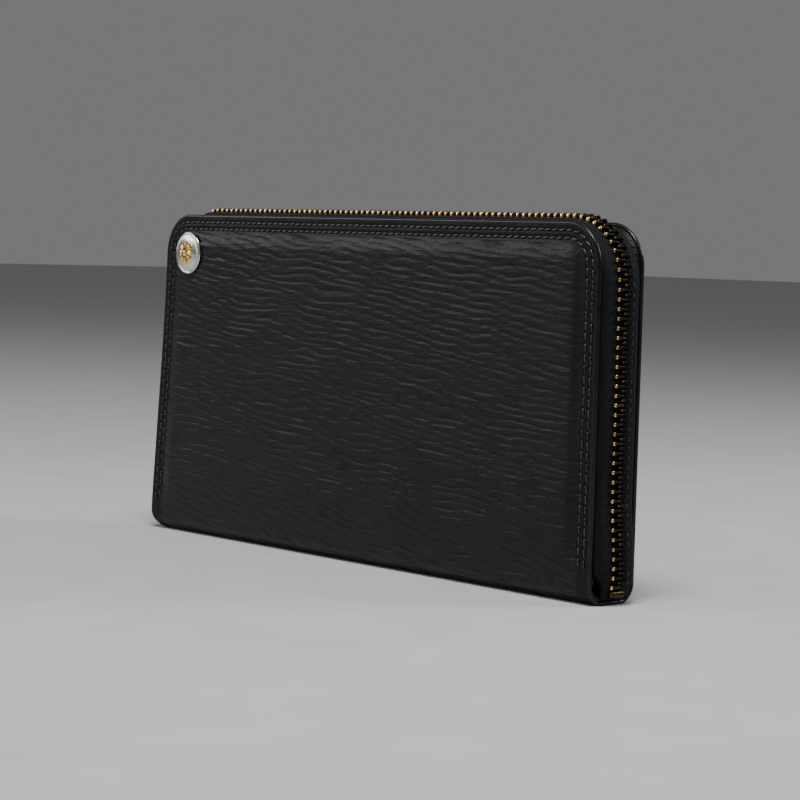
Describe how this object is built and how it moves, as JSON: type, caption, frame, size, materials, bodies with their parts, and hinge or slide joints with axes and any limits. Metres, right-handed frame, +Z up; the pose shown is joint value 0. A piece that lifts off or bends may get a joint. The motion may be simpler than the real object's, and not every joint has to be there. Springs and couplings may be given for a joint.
{
  "type": "zip around wallet",
  "caption": "Long black leather wallet closed by a metal zip round three sides, with card pockets and a coin purse inside.",
  "frame": {"origin": "middle of the flat stretch under the spine, which the closed wallet stands on", "axes": "+X along the wallet to the right seen from the front, +Y from the front cover to the back cover, +Z up from the spine to the top zip"},
  "size_m": [0.2078, 0.0209, 0.1023],
  "materials": {
    "cover_leather": "black leather with fine horizontal ripple grain, waxed",
    "card_leather": "thin smooth black leather",
    "gusset_leather": "thin soft black leather",
    "lining_fabric": "fine black twill",
    "stiffener_board": "grey-brown bonded board",
    "zip_tape": "blue-black herringbone tape",
    "antique_brass": "antique brass, dark in the recesses and bright on the ends",
    "polished_silver": "hand polished silver",
    "polished_gold": "polished gold",
    "screw_steel": "plain steel",
    "thread": "waxed black polyester thread",
    "edge_paint": "glossy black edge paint"
  },
  "bodies": {
    "back_cover": {"back_leather": "cover_leather", "spine_leather": "cover_leather", "back_stiffener": "stiffener_board", "back_lining": "lining_fabric", "spine_lining": "lining_fabric", "back_card_base": "card_leather", "back_card_pocket_1": "card_leather", "back_card_pocket_2": "card_leather", "back_card_pocket_3": "card_leather", "back_card_pocket_4": "card_leather", "zip_tape_back": "zip_tape", "zip_teeth_back": "antique_brass", "zip_top_stop_back": "antique_brass", "zip_bottom_stop": "antique_brass", "gusset_left_back": "gusset_leather", "gusset_right_back": "gusset_leather"},
    "front_cover": {"front_leather": "cover_leather", "front_stiffener": "stiffener_board", "front_lining": "lining_fabric", "front_card_base": "card_leather", "front_card_pocket_1": "card_leather", "front_card_pocket_2": "card_leather", "front_card_pocket_3": "card_leather", "front_card_pocket_4": "card_leather", "zip_tape_front": "zip_tape", "zip_teeth_front": "antique_brass", "zip_top_stop_front": "antique_brass", "gusset_left_front": "gusset_leather", "gusset_right_front": "gusset_leather", "concho_disc": "polished_silver", "concho_emblem": "polished_gold", "concho_screw": "screw_steel"},
    "coin_purse": {"coin_purse_front": "card_leather", "coin_purse_back": "card_leather", "coin_zip_tape_front": "zip_tape", "coin_zip_tape_back": "zip_tape", "coin_zip_teeth_front": "antique_brass", "coin_zip_teeth_back": "antique_brass", "coin_zip_stop": "antique_brass"},
    "zip_slider": {"zip_slider_body": "antique_brass", "zip_slider_crown": "antique_brass"},
    "zip_pull": {"zip_puller": "antique_brass"},
    "coin_slider": {"coin_slider_body": "antique_brass", "coin_slider_crown": "antique_brass"},
    "coin_pull": {"coin_puller": "antique_brass"}
  },
  "joints": [
    {"name": "front_cover_open", "type": "hinge", "parent": "back_cover", "child": "front_cover", "pos_m": [0, -0.00668, 0.00152], "axis": [1, 0, 0], "range_deg": [0, 75], "deforming": ["gusset_left_front", "gusset_right_front", "gusset_left_back", "gusset_right_back", "zip_tape_front", "zip_teeth_front", "zip_top_stop_front"]},
    {"name": "coin_purse_swing", "type": "hinge", "parent": "back_cover", "child": "coin_purse", "pos_m": [0, -0.00668, 0.00152], "axis": [1, 0, 0], "range_deg": [0, 37.5]},
    {"name": "zip_slider_travel", "type": "slide", "parent": "back_cover", "child": "zip_slider", "axis": [0, 0, 1], "range_m": [0, 0.064], "deforming": ["zip_teeth_back", "zip_top_stop_back"]},
    {"name": "zip_puller_swing", "type": "hinge", "parent": "zip_slider", "child": "zip_pull", "pos_m": [-0.10397, 0, 0.01375], "axis": [0, -1, 0], "range_deg": [0, 175]},
    {"name": "coin_slider_travel", "type": "slide", "parent": "coin_purse", "child": "coin_slider", "axis": [1, 0, 0], "range_m": [0, 0.15], "deforming": ["coin_zip_teeth_front", "coin_zip_teeth_back"]},
    {"name": "coin_puller_swing", "type": "hinge", "parent": "coin_slider", "child": "coin_pull", "pos_m": [-0.0785, 0, 0.07938], "axis": [0, -1, 0], "range_deg": [0, 175]}
  ],
  "couplings": [
    {"joint": "coin_purse_swing", "follows": "front_cover_open", "ratio": 0.5}
  ]
}
